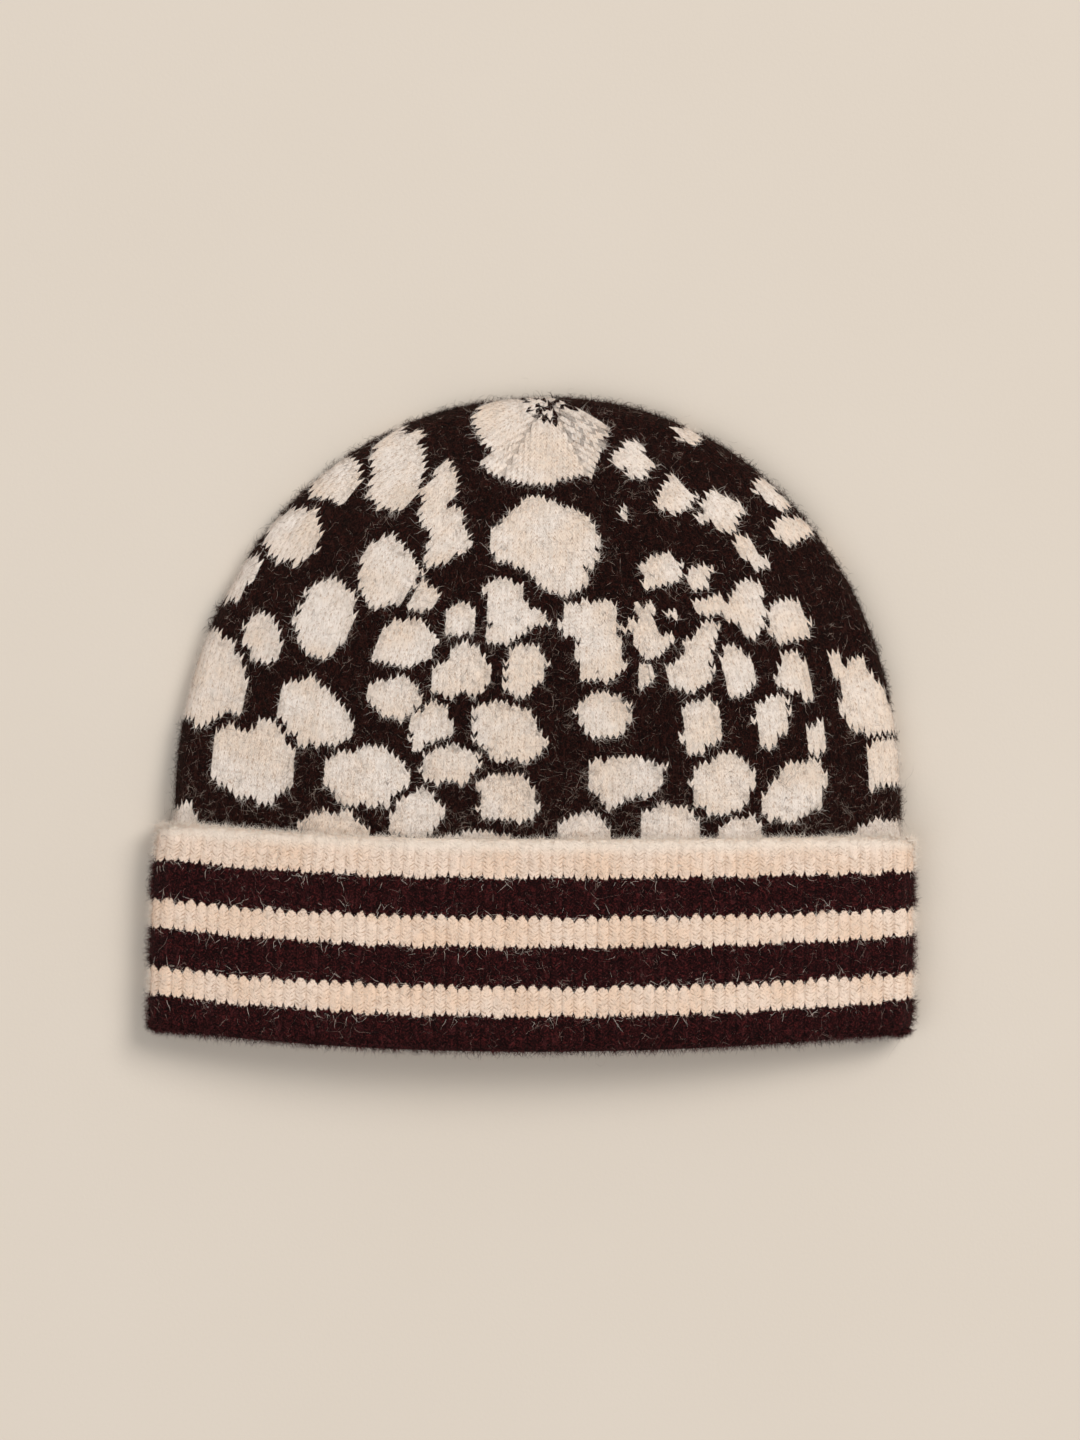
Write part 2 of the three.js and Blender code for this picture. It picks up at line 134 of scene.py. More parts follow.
# Cream spots of the upper sheet: each one's outline, as the x,y of its corners
SPOTS = [
    (-19.5,199, -17.5,201.5, -8,205, -3.5,204.5, 2.5,200, 0.5,197, -5.5,193.5, -12,187.5, -14.5,188.5,
     -17.5,194),
    (1,198.5, 9.5,195.5, 21,184.5, 19,181.5, 16.5,180, 6,177, -1.5,176.5, -10.5,179, -16.5,184, -6,195),
    (8.5,200.5, 13,201.5, 18,199.5, 26,194.5, 22.5,188, 21,184, 18.5,185, 8.5,195),
    (-70,174, -68.5,181, -62,186, -56.5,185.5, -54.5,183, -54,177.5, -55,175, -59.5,171.5, -61.5,172.5,
     -66,173),
    (-49.5,189.8, -46,193, -40.8,195.8, -40.3,193.3, -36,194.5, -34.5,190, -33.5,183.5, -34.5,177.5,
     -37,173.5, -42,169, -47,169, -51.5,174),
    (-29,183, -27,184.5, -25,183, -22.5,177.5, -23.5,175, -27.5,170, -28.5,166.5, -31.5,163.3, -34.5,163.7,
     -36,168, -34,176),
    (-27.5,169.5, -24,170.5, -21.5,169, -18.5,158, -27.5,151.5, -31.5,151.5, -34,153, -31.5,160.5,
     -30.5,164.5),
    (-34.5,150.5, -33,150, -33.5,148, -34.5,148),
    (-81,165.5, -76.5,169, -72,170, -68.5,169, -65.5,163, -67.5,159.5, -66.5,157, -69.5,154, -73.5,152,
     -79.5,153, -84,158),
    (-96,141.5, -93.5,149, -90.5,154, -86.5,154.5, -84.5,152.5, -86,149, -91,142, -94,140.5),
    (-52.5,156.5, -47,160.5, -43.5,161.5, -38.5,157, -35,149, -36,145, -39.5,142, -40,140, -44.5,139.5,
     -48.5,138, -52,140, -53,143.5, -54.5,153.5),
    (-35.7,145, -34,146.5, -29,144, -28.5,141.5, -30,139.5, -33.5,137.5, -36,137, -37.6,136.5, -38.6,138,
     -37.8,142),
    (-26,137.5, -21.5,141, -19,139.5, -17.5,137, -17.5,134, -18.5,132, -17.5,131, -22,129.8, -27,129.3,
     -27.5,130.2),
    (-69.5,145.5, -66,146.5, -59,147, -55,140.5, -55,134, -60,126.5, -63,123, -68.5,122.5, -73,129.5,
     -74,134.5),
    (-88,135.5, -84,137, -80.5,135, -78,130.5, -78,127, -78.5,123.5, -81,121, -85,121, -88,124, -90,128,
     -90.5,131.5),
    (-102,132, -98,132, -96.5,128.5, -93.5,127.5, -89.5,120, -89.5,107, -99,104, -102,101, -105,102,
     -108.5,105.5, -110.5,109.5, -108.5,119, -106,127),
    (-99,98, -93,103, -91,100.5, -88.8,98.8, -86.5,101.5, -84,103.4, -81.5,103, -78,100.5, -76.5,96,
     -72.5,92.5, -73.5,88, -75.5,83.5, -83,76, -86,78.5, -94.5,80.5, -100.5,87),
    (-77.5,115.5, -72,115.5, -69,117, -58,108, -55,100.5, -57,97, -64.5,95.5, -71.5,95.5, -75.5,99.5, -77,103,
     -79.5,105.5),
    (-46.5,132, -42.5,134.5, -37.5,134, -34.5,134.5, -29.5,131, -29.5,127, -31,123, -34.5,121, -39.5,119.5,
     -45,120.5, -49,122),
    (-24,127.6, -21,128, -17.5,126.6, -12.5,120.5, -12.5,117.5, -14,114, -17.5,111, -22,112, -26.5,110,
     -28.5,112, -31,112, -31,118.5, -26,123),
    (-50,114, -47,116, -43.5,116, -40,117.5, -37,115, -34.5,111, -35,107.5, -41,103, -44.5,105, -47,105.5,
     -49.5,108, -51,110.5),
    (-36,106, -30,109.5, -29,108, -26,107.5, -24,101.5, -25.5,98.5, -28.5,97, -32,96, -35,94.5, -37.5,95.5,
     -37.5,98.5, -38.5,101),
    (-33,93, -29,95, -23,95.5, -16.5,92, -16,89.5, -18,86, -20.5,83.5, -25,84, -28.5,83.5, -32.5,85, -35,87.5,
     -34.5,90.5),
    (-63.5,92, -59,93.5, -56,93, -52.5,95, -45.5,95.5, -40,90.5, -37.5,86.5, -38.5,83, -42,81, -44.5,77,
     -59,76.5, -61,80.5, -63,82, -65.5,86),
    (-42,78.5, -39,80.5, -34.5,82, -30,80, -27,76, -27,73.5, -32,67, -39.5,67, -43.5,67.5, -43,76.5),
    (-72,72, -65,75, -58,75, -54.5,73, -51.5,70, -49.5,67, -49.5,59.5, -72.5,59.5),
    (-116,64.5, -114,73.5, -110.5,76.5, -108,77.5, -105.5,75.5, -103,69, -103,62.5),
    (-29.5,66.5, -21.5,68.5, -15,69, -7,66.5, -7,60, -29.5,60),
    (-16,84.5, -11.5,86, -2,86.5, 1.5,80.5, 2.5,76.5, 1,72.5, -3.5,72, -11.5,72, -15.5,72.5, -16.5,76,
     -16,79.5, -16.5,82.5),
    (-17.5,107, -9.5,109.5, -0.5,106, 2.5,103.5, 2.5,99.5, 4.5,98, 5,94, -1.5,90.5, -6.5,91, -10,90, -17,97,
     -18.5,100, -17.5,103),
    (-6.5,126, -2,127, 1.5,126.5, 5.5,122, 3.5,115.5, -2,110, -9,113, -8,115.5, -8.5,118),
    (-15,145.5, -12.5,147.5, -6,147, -2,144.5, -1,139, 2,138, 4.5,136, 5.5,132.5, 0.5,132.5, -7,127.5,
     -10,126.5, -13.5,128, -13.5,131, -12.5,133),
    (-13.5,164, -10,164.5, -3,172, 1.5,173.5, 6,172.5, 10,170.5, 15.5,169, 18.5,167, 22,160.5, 21.5,154.5,
     20,151, 18,149, 17.5,146, 15,144, 11,142, 2.5,145.5, -1.5,149.5, -8.5,153, -11,152.5, -13.5,159.5),
    (11.5,139, 15.5,140.5, 21.5,141, 26,140.5, 28,133.5, 28,128.5, 29.5,124, 29.5,119, 23.5,115, 20,115.5,
     16.5,115.5, 14,124, 15,128, 9.5,131, 9,134),
    (15.5,108.5, 18,111, 22.5,113, 27,111, 31,108, 31.5,104.5, 30,100.5, 26,98, 23,98.5, 20,98, 16,101,
     14,105.5),
    (38,154.5, 43.5,155.5, 48.5,152.3, 47.3,149.5, 46.3,147, 39.5,144, 36,144.5, 34.5,151),
    (49.8,149.8, 52,151, 56.5,151.5, 57,149.5, 55.5,147.5, 56,145.5, 53,143.5, 50.8,144.5, 49.3,146.5),
    (32.5,140, 35,139.5, 38.5,140.5, 39,138, 38,134.5, 39,132, 45,129.5, 45,127.5, 39.5,122.5, 36,123,
     33.5,125, 32,131, 33.5,134.5),
    (34.5,120.5, 36,122, 38,120.5, 38.5,118, 37.5,114.5, 35,112, 33.5,113.5),
    (42.6,138, 45.4,137.6, 45.4,134.8, 42.6,135),
    (30.5,135.5, 32,135, 32,131, 30.5,131.5),
    (27.5,169.5, 29.5,170, 30,166.5, 28.5,165.5),
    (31,191.5, 34.5,190, 39.5,183, 34.5,178, 32,179, 30.5,181.5, 26,183.5, 25.5,185.5),
    (44,181, 47.5,179, 52.5,173, 48.5,169, 45,167.5, 39,170.5),
    (54.5,172.5, 57,176, 60,175, 66,170.5, 67.5,168, 65,165.5, 64,162.5, 60.5,162.5, 57.5,164.5, 52.5,165.5),
    (65,161.5, 68,160.5, 74.5,153, 73.5,150.5, 71.5,149.5, 63,158),
    (71,177.5, 72.5,179.5, 80,173, 82,169.5, 80,168.5, 70,175),
    (76,166.5, 80,166, 82,167, 85.5,166.5, 89.5,162, 85.5,160.5, 81,156.5, 77,161.5, 76,164),
    (46,194, 48,195.5, 52.5,193.5, 54.5,190.5, 51,190, 47.5,191.5),
    (51.5,140.5, 58,143.5, 60,141.5, 62.5,140, 62.5,138, 60,136, 56,135.5, 51,138.5),
    (63.5,144, 66,146, 71,146.5, 73.5,144.5, 73.5,142, 72,140, 73.5,137.5, 73.5,134, 71,129.5, 68.5,128.5,
     64,133.5, 60.5,134.5),
    (75,139, 78.5,140.5, 83,141, 85.5,139, 88,133.5, 87,130, 84.5,128.5, 81,128.5, 79.5,126.5, 77,128,
     74.5,131, 74.5,134.5),
    (54,133, 57,134.5, 59.5,133, 58.5,128.5, 57,124.5, 57,116.5, 51,112, 47,112.5, 43,114, 42,117.5,
     42.5,120.5, 48,123, 47.5,125.5, 48.5,128, 51,129, 52,131.5),
    (59.5,125.5, 62.5,127, 66,126.5, 72,116, 66,110.5, 62,110.5, 60.5,117, 59.5,120, 60,123),
    (78,123, 81.5,125, 84.5,124, 87.5,117, 88.5,109, 85.5,109.5, 83.5,111.5, 79,113, 77,115),
    (93.5,124, 95.5,125, 97.5,124, 98,121, 97,118, 95,116.5, 93,121),
    (97.5,119, 100,122, 103,123, 105.5,121, 106.5,117.5, 110,113.5, 112,109.5, 115,100.5, 111,98.5,
     105.5,98.5, 101,100.5, 98,104.5, 97,108.5, 98,112, 97,115.5),
    (105.5,95.5, 108.5,97, 114,97.5, 118,96.5, 118.5,83.5, 109.5,83, 106.5,81, 105,83.5, 105.5,88.5,
     104.5,92),
    (48.5,109.5, 56.5,110.5, 58.5,108, 61,97, 56,96, 54,93, 51,92, 48,94, 47,98.5),
    (71,109, 78,111, 80.5,109, 81,105, 80.5,101, 78,97.5, 74.5,94.5, 72.5,95.5, 70,104),
    (87,101, 92,103, 92,95, 90.5,92.5, 88,92, 86.5,98.5),
    (19,90.5, 22.5,90.5, 27,92.5, 37,91.5, 42,89, 41,84.5, 39,80.5, 29.5,78.5, 28,77, 23.5,75, 22.5,76.5,
     22.5,78.5, 19,81.5, 18.5,87),
    (51,88.5, 58.5,92.5, 64.5,93, 69.5,87, 70,84, 68,79, 65.5,75.5, 56.5,73, 54.5,76, 52,77, 50,82, 50,86.5),
    (78.5,88, 82,89.5, 89.5,91, 93,86, 90.5,76, 87,75, 84.5,72, 80,71.5, 77.5,72.5, 74.5,72, 72.5,74.5,
     73.5,81.5, 78,86),
    (7.5,65, 9,70.5, 13,73.5, 17,74.5, 21,74, 24,71, 25.5,67, 25.5,59.5, 7.5,59.5),
    (34.5,73.5, 38,76, 42,77, 47,76.5, 51,74.5, 53.5,69, 53.5,59.5, 34.5,59.5),
    (57.5,65, 58.5,70, 61.5,72, 66.5,72.5, 69,73.5, 72.5,70.5, 73,59.5, 57.5,59.5),
    (100.5,65, 102.5,70.5, 109.5,72.5, 118,72.5, 120,59.5, 100.5,59.5),
]
# Dark bits within them
DARK_BITS = [
    (16,152, 18,152, 18,150, 16,149.5),
    (3.5,201.5, 6.5,201, 9.5,196.5, 8.5,195.5, 5,198, 3.5,199.5),
]
# The speckled middle of the gathered tip
GATHER = [(-3,203.5, 0,205.5, 9.5,204, 11,201.5, 8.5,199, 3,197.5, -1,200)]
# Where the cream is thin, and the dark yarn behind it shows
THIN = [(6,197, 9,200.5, 13,202, 18,200, 27,195, 23,187, 21,184, 17,187, 10,194)]
# Cream stripes of the band, from and to, in millimetres along it from the fold. Below zero is inside.
STRIPES = [(-34, -23.5), (-12.5, -1.5), (10.8, 20.5), (32.1, 42.1), (53.7, 74)]
STRIPE_BLUR = 0.25

# Colours
CREAM = (0.94, 0.825, 0.73)
CREAM_CUFF = (0.95, 0.748, 0.608)
# Paler free edge of the band: partly its paler brushed fibres, partly painted light against the shade of its
# rounding
CREAM_LIP_PALE_AND_LIT = (0.98, 0.87, 0.76)
DARK = (0.0068, 0.0023, 0.0017)
DARK_CUFF = (0.012, 0.0028, 0.003)
STRAY_BROWN = (0.52, 0.33, 0.22)
PALEST = 0.98
SPECULAR, SHEEN_ROUGHNESS = 0.08, 0.45


def tint(colour, share):
    """A colour times a number, or times one number for each of its parts."""
    return tuple(float(part) for part in np.multiply(colour, share))


def clamp01(x):
    return np.clip(x, 0, 1)


def smooth(x):
    x = clamp01(x)
    return x * x * (3 - 2 * x)


def mix(a, b, t):
    return a + (b - a) * t


def unit(v):
    return v / np.maximum(np.linalg.norm(v, axis=-1, keepdims=True), 1e-12)


# Camera, floor and light

def new_object(name, data):
    item = bpy.data.objects.new(name, data)
    bpy.context.collection.objects.link(item)
    return item


def set_stage():
    camera = new_object("camera", bpy.data.cameras.new("camera"))
    camera.data.lens = CAMERA_LENS
    camera.data.clip_end = CAMERA_REACH
    camera.location = (*CAMERA_XY, CAMERA_HEIGHT)
    bpy.context.scene.camera = camera

    bpy.ops.mesh.primitive_plane_add(size=FLOOR_SIZE, location=(0, 0, -FLOOR_DROP))
    floor = bpy.context.object
    floor.name = "floor"
    nodes = Nodes("floor")
    tone = nodes.noise(9, 3, 0.5)
    grain = nodes.noise(900, 2, 0.5)
    nodes.shade(nodes.blend(tone, *FLOOR_COLOURS), (grain, 0.00015, 0.25), roughness=0.9)
    floor.data.materials.append(nodes.material)

    for name, place, size, power, colour in LIGHTS:
        light = new_object(name, bpy.data.lights.new(name, "AREA"))
        light.data.size = size
        light.data.energy = power
        light.data.color = colour
        light.location = place
        x, y, z = place
        light.rotation_euler = math.atan2(math.hypot(x, y), z), 0, math.atan2(-y, -x) - math.pi / 2

    bpy.context.scene.view_settings.view_transform = "Standard"
    world = bpy.data.worlds.new("studio")
    world.use_nodes = True
    background = world.node_tree.nodes["Background"]
    background.inputs["Color"].default_value = (*SKY_COLOUR, 1)
    background.inputs["Strength"].default_value = SKY_POWER
    bpy.context.scene.world = world


# Materials

class Nodes:
    """A material's node tree, with short calls for the nodes that the knit needs."""

    def __init__(self, name):
        self.material = bpy.data.materials.new(name)
        self.material.use_nodes = True
        self.tree = self.material.node_tree
        self.place = self.add("ShaderNodeTexCoord").outputs["Object"]

    def add(self, kind, **settings):
        node = self.tree.nodes.new(kind)
        for key, value in settings.items():
            setattr(node, key, value)
        return node

    def put(self, socket, value):
        if isinstance(value, bpy.types.NodeSocket):
            self.tree.links.new(value, socket)
        elif socket.type == "RGBA":
            socket.default_value = (*value, 1)
        else:
            socket.default_value = value

    def math(self, operation, a, b=0.0, c=0.0, clamp=False):
        node = self.add("ShaderNodeMath", operation=operation, use_clamp=clamp)
        for socket, value in zip(node.inputs, (a, b, c)):
            self.put(socket, value)
        return node.outputs[0]

    def scaled(self, value, factor, plus=0.0):
        return self.math("MULTIPLY_ADD", value, factor, plus)

    def product(self, a, b):
        return self.math("MULTIPLY", a, b)

    def fill(self, node, values):
        """Sets a node's sockets by name, and gives its first output."""
        for key, value in values.items():
            self.put(node.inputs[key], value)
        return node.outputs[0]

    def noise(self, scale, detail, roughness, distortion=0.0, stretch=None):
        place = self.place
        if stretch:
            place = self.fill(self.add("ShaderNodeMapping"), {"Vector": place, "Scale": stretch})
        return self.fill(self.add("ShaderNodeTexNoise"), {
            "Vector": place, "Scale": scale, "Detail": detail, "Roughness": roughness,
            "Distortion": distortion,
        })

    def ramp(self, value, low, high, to_low=0.0, to_high=1.0):
        return self.fill(self.add("ShaderNodeMapRange", interpolation_type="SMOOTHSTEP"), {
            "Value": value, "From Min": low, "From Max": high, "To Min": to_low, "To Max": to_high,
        })

    def curve(self, value, points):
        node = self.add("ShaderNodeFloatCurve")
        line = node.mapping.curves[0]
        for place, height in points[1:-1]:
            line.points.new(place, height)
        for point, (place, height) in zip(line.points, points):
            point.location = (place, height)
        node.mapping.update()
        return self.fill(node, {"Value": value})

    def blend(self, share, a, b):
        node = self.add("ShaderNodeMix", data_type="RGBA")
        self.put(node.inputs["Factor"], share)
        self.put(node.inputs[6], a)
        self.put(node.inputs[7], b)
        return node.outputs[2]

    def shade(self, colour, bump, roughness=0.95, sheen=0.0, sheen_tint=(1, 1, 1)):
        """Finishes the material. bump is its height, distance and strength."""
        height, distance, strength = bump
        bumps = {"Height": height, "Distance": distance, "Strength": strength}
        normal = self.fill(self.add("ShaderNodeBump"), bumps)
        self.fill(self.tree.nodes["Principled BSDF"], {
            "Base Color": colour, "Roughness": roughness, "Specular IOR Level": SPECULAR, "Normal": normal,
            "Sheen Weight": sheen, "Sheen Roughness": SHEEN_ROUGHNESS, "Sheen Tint": sheen_tint,
        })

    def stitches(self):
        """The stitch coordinates: across in wales or ribs, and along the cloth."""
        uv = self.add("ShaderNodeUVMap", uv_map="knit")
        parts = self.add("ShaderNodeSeparateXYZ")
        self.put(parts.inputs[0], uv.outputs[0])
        return parts.outputs[0], parts.outputs[1]

    def by_number(self, value, seed):
        """An even random number for each wale or rib."""
        node = self.add("ShaderNodeTexWhiteNoise", noise_dimensions="1D")
        self.put(node.inputs["W"], self.math("ADD", self.math("FLOOR", value), seed))
        return node.outputs["Value"]

    def from_middle(self, value):
        """0 in the middle of each wale, rib or course, and 1 where it meets the next."""
        return self.math("ABSOLUTE", self.scaled(self.math("FRACT", value), 2.0, -1.0))


def yarn_colours(nodes, cream, dark, hollow_shade):
    """Cream and dark yarn with their cloudy tone, stray fibres and the shade between stitches."""
    cloud = nodes.noise(48, 4, 0.6)
    fibre = nodes.noise(1150, 4, 0.7, 1.4)
    streak = nodes.noise(620, 3, 0.65, 0.8, (1, 0.4, 1))
    pale = tuple(min(PALEST, part) for part in tint(cream, (1.04, 1.06, 1.09)))
    light = nodes.blend(nodes.ramp(cloud, 0.38, 0.62), tint(cream, (0.99, 0.935, 0.88)), pale)
    light = nodes.blend(nodes.ramp(streak, 0.42, 0.66, 0.0, 0.5), light, tint(cream, 0.78))
    light = nodes.blend(nodes.ramp(fibre, 0.56, 0.64, 0.0, 0.6), light, STRAY_BROWN)
    # Painted shade between the stitches: on the cream here, and on the dark yarn below
    light = nodes.blend(hollow_shade, light, tint(cream, (0.5, 0.37, 0.27)))
    deep = nodes.blend(nodes.ramp(cloud, 0.35, 0.65), tint(dark, 0.6), tint(dark, 0.85))
    deep = nodes.blend(nodes.ramp(fibre, 0.48, 0.62), deep, tint(dark, (6.0, 4.0, 3.8)))
    deep = nodes.blend(nodes.ramp(streak, 0.54, 0.7, 0.0, 0.6), deep, tint(dark, 6))
    deep = nodes.blend(nodes.math("MULTIPLY", hollow_shade, 2.0, clamp=True), deep, tint(dark, 0.3))
    return light, deep, fibre, streak


def crown_material():
    nodes = Nodes("two_colour_knit")
    across, along = nodes.stitches()
    side = nodes.from_middle(across)
    legs = nodes.from_middle(nodes.scaled(side, -0.5, along))
    # Painted shade in the holes between wales and between each wale's legs
    between, within = nodes.ramp(side, 0.45, 0.9, 0.0, 0.8), nodes.ramp(side, 0.0, 0.3, 0.6, 0.0)
    hole = nodes.product(nodes.math("MAXIMUM", between, within), nodes.ramp(legs, 0.3, 0.85))
    hollow_shade = nodes.product(hole, nodes.ramp(nodes.noise(520, 2, 0.6), 0.4, 0.6, 0.1, 0.9))
    light, deep, fibre, streak = yarn_colours(nodes, CREAM, DARK, hollow_shade)
    yarn = nodes.add("ShaderNodeAttribute", attribute_name="yarn").outputs["Fac"]
    colour = nodes.blend(yarn, deep, light)
    rope = nodes.scaled(side, -0.3, nodes.product(legs, -0.35))
    height = nodes.math("ADD", rope, nodes.scaled(fibre, 1.6, nodes.product(streak, 0.9)))
    nodes.shade(colour, (height, 0.0005, 0.75), sheen=0.05, sheen_tint=(1, 0.66, 0.48))
    return nodes.material


def cuff_material():
    nodes = Nodes("striped_rib")
    across, along = nodes.stitches()
    side = nodes.from_middle(across)
    frayed = nodes.scaled(nodes.noise(1900, 2, 0.6), 1.3, -0.65)
    wobble = nodes.math("ADD", nodes.scaled(nodes.noise(560, 3, 0.65), 2.2, -1.1), frayed)
    rise = nodes.curve(side, [(0, 0.36), (0.16, 0.12), (0.34, 0), (0.6, 0.05), (0.82, 0.4), (1, 0.95)])
    drop = nodes.curve(side, [(0, 0), (0.25, 0.07), (0.5, 0.26), (0.75, 0.56), (1, 0.95)])
    # A stripe starts and ends where the yarn's scallops do, a little differently on each rib
    feet = nodes.math("ADD", nodes.scaled(rise, -1.9, along), wobble)
    heads = nodes.math("ADD", nodes.scaled(drop, 1.9, along), wobble)
    feet = nodes.scaled(nodes.by_number(across, 0.3), 0.9, nodes.math("ADD", feet, -0.45))
    heads = nodes.scaled(nodes.by_number(across, 0.7), 0.9, nodes.math("ADD", heads, -0.45))
    stripes = 0.0
    for low, high in STRIPES:
        starts = nodes.ramp(feet, low - STRIPE_BLUR, low + STRIPE_BLUR)
        ends = nodes.ramp(heads, high - STRIPE_BLUR, high + STRIPE_BLUR, 1.0, 0.0)
        stripes = nodes.math("ADD", stripes, nodes.product(starts, ends))
    loose = nodes.scaled(nodes.noise(300, 2, 0.6), 1.6, along)
    course = nodes.from_middle(nodes.math("DIVIDE", nodes.scaled(side, -1.3, loose), COURSE))
    patchy = nodes.ramp(nodes.noise(620, 2, 0.6), 0.42, 0.58)
    hole = nodes.product(nodes.ramp(side, 0.05, 0.5, 0.3, 1.0), nodes.ramp(course, 0.5, 0.95, 0.0, 0.75))
    # Painted shade in the grooves between ribs and in the stitches' holes, less of it under the free edge
    depth = nodes.scaled(nodes.by_number(across, 0.5), 0.2, 0.17)
    groove_shade = nodes.product(nodes.ramp(side, 0.7, 1.0), depth)
    groove_shade = nodes.math("MAXIMUM", groove_shade, nodes.product(hole, patchy))
    lip = nodes.ramp(along, CUFF_HEIGHT - LIP_HEIGHT, CUFF_HEIGHT - 1)
    groove_shade = nodes.product(groove_shade, nodes.scaled(lip, -LIP_SMOOTHING, 1.0))
    light, deep, fibre, streak = yarn_colours(nodes, CREAM_CUFF, DARK_CUFF, groove_shade)
    # The free edge made paler: partly paler brushed fibres, partly painted light
    light = nodes.blend(nodes.product(lip, 0.7), light, CREAM_LIP_PALE_AND_LIT)
    colour = nodes.blend(stripes, deep, light)
    stitch = nodes.product(nodes.product(course, patchy), -0.8)
    height = nodes.math("ADD", stitch, nodes.scaled(fibre, 2.0, streak))
    nodes.shade(colour, (height, 0.0005, 0.65), sheen=0.03, sheen_tint=(1, 0.66, 0.6))
    return nodes.material


def fibre_material(name, low, high, sheen, patches):
    nodes = Nodes(name)
    tone = nodes.noise(patches, 3, 0.6)
    scales = nodes.noise(1100, 2, 0.5)
    colour = nodes.blend(nodes.ramp(tone, 0.42, 0.6), low, high)
    nodes.shade(colour, (scales, 0.00002, 0.3), roughness=0.9, sheen=sheen, sheen_tint=(1, 0.7, 0.55))
    return nodes.material


# The core surface, as in the solids

DOME_POINTS, SIDE_POINTS = 241, 140


def silhouettes():
    """Each side's outline: the height of its rows, and their x and y."""
    sides = {}
    for name, sign in (("left", -1), ("right", 1)):
        crown_x = sign * CROWN_WIDTH / 2 + CROWN_SHIFT
        start = DOME_START[name]
        turn = np.linspace(0, math.pi / 2, DOME_POINTS)
        x = TIP_SHIFT + (crown_x - TIP_SHIFT) * np.abs(np.cos(turn)) ** (2 / DOME_POWER[name])
        y = start + (BEANIE_HEIGHT - start) * np.sin(turn) ** (2 / DOME_POWER[name])
        x[-1] = TIP_SHIFT
        reached = np.concatenate([[0], np.cumsum(np.hypot(np.diff(x), np.diff(y)))])
        even = np.linspace(0, reached[-1], DOME_POINTS)
        low = np.linspace(0, start, SIDE_POINTS, endpoint=False)
        up = clamp01(low / TAPER_HEIGHT)
        low_x = mix(sign * (CUFF_WIDTH / 2 - LAYER_OFFSET), crown_x, mix(up, up**TAPER_POWER, TAPER_LATE))
        low_x -= sign * HEM_CORNER[name] * clamp01(1 - low / HEM_CORNER_HEIGHT) ** 2
        sides[name] = (
            np.concatenate([low, np.linspace(start, BEANIE_HEIGHT, DOME_POINTS)]),
            np.concatenate([low_x, np.interp(even, reached, x)]),
            np.concatenate([low, np.interp(even, reached, y)]),
        )
    return sides


SIDES = silhouettes()


def plan(across, height):
    """Where a place across the beanie, from -1 to 1, lies at a height, seen from above."""
    up = clamp01(height / CUFF_HEIGHT)
    sides = []
    for name, (rows, xs, ys) in SIDES.items():
        bow = mix(HEM_BOW[name], CUFF_TOP_BOW[name], up)
        sides.append((np.interp(height, rows, xs), np.interp(height, rows, ys), bow))
    edge_x, edge_y, bow = (np.where(across < 0, left, right) for left, right in zip(*sides))
    bow = bow * (1 - smooth((height - CUFF_HEIGHT) / BOW_FADE))
    middle = TIP_SHIFT * clamp01(height / BEANIE_HEIGHT) ** 2
    return middle + (edge_x - middle) * np.abs(across), height + (edge_y - height + bow) * across**2


def to_outline(x, y):
    """How far each place is from the outline, at most the side folds' radius."""
    rows = np.linspace(0, BEANIE_HEIGHT, 321)
    best = np.full(x.shape, EDGE_RADIUS**2)
    for sign in (-1.0, 1.0):
        ax, ay = plan(np.full(rows.shape, sign), rows)
        for a, b, c, d in zip(ax[:-1], ay[:-1], ax[1:], ay[1:]):
            near = (np.abs(x - a) < EDGE_RADIUS + abs(c - a)) & (np.abs(y - b) < EDGE_RADIUS + abs(d - b))
            px, py = x[near] - a, y[near] - b
            t = clamp01((px * (c - a) + py * (d - b)) / ((c - a) ** 2 + (d - b) ** 2))
            best[near] = np.minimum(best[near], (t * (c - a) - px) ** 2 + (t * (d - b) - py) ** 2)
    return np.sqrt(best)


def loft_along(height):
    place, rise = np.transpose(LOFT_ALONG) * [[BEANIE_HEIGHT], [LOFT]]
    secant = np.diff(rise) / np.diff(place)
    slope = np.concatenate([secant[:1], (secant[:-1] + secant[1:]) / 2, secant[-1:]])
    k = np.clip(np.searchsorted(place, height, side="right") - 1, 0, len(secant) - 1)
    span = place[k + 1] - place[k]
    t = (height - place[k]) / span
    bend = span * t * (1 - t) * ((1 - t) * slope[k] - t * slope[k + 1])
    return np.maximum(0, mix(rise[k], rise[k + 1], smooth(t)) + bend)


def core(turn, height):
    angle = turn * math.tau
    across = np.cos(angle)
    x, y = plan(across, height)
    fold = EDGE_RADIUS * np.sqrt(1 - (1 - to_outline(x, y) / EDGE_RADIUS) ** 2)
    under = LAYER_OFFSET * (1 - smooth((height - CUFF_HEIGHT) / SETTLE))
    rise = loft_along(height) * (1 - np.abs(across) ** 3) ** 1.2
    z = under + EDGE_RADIUS + np.where(np.sin(angle) < 0, -fold, fold + rise)
    return np.stack([x, y, z], -1)


CORE_TURNS, CORE_STEP = 1200, 0.75


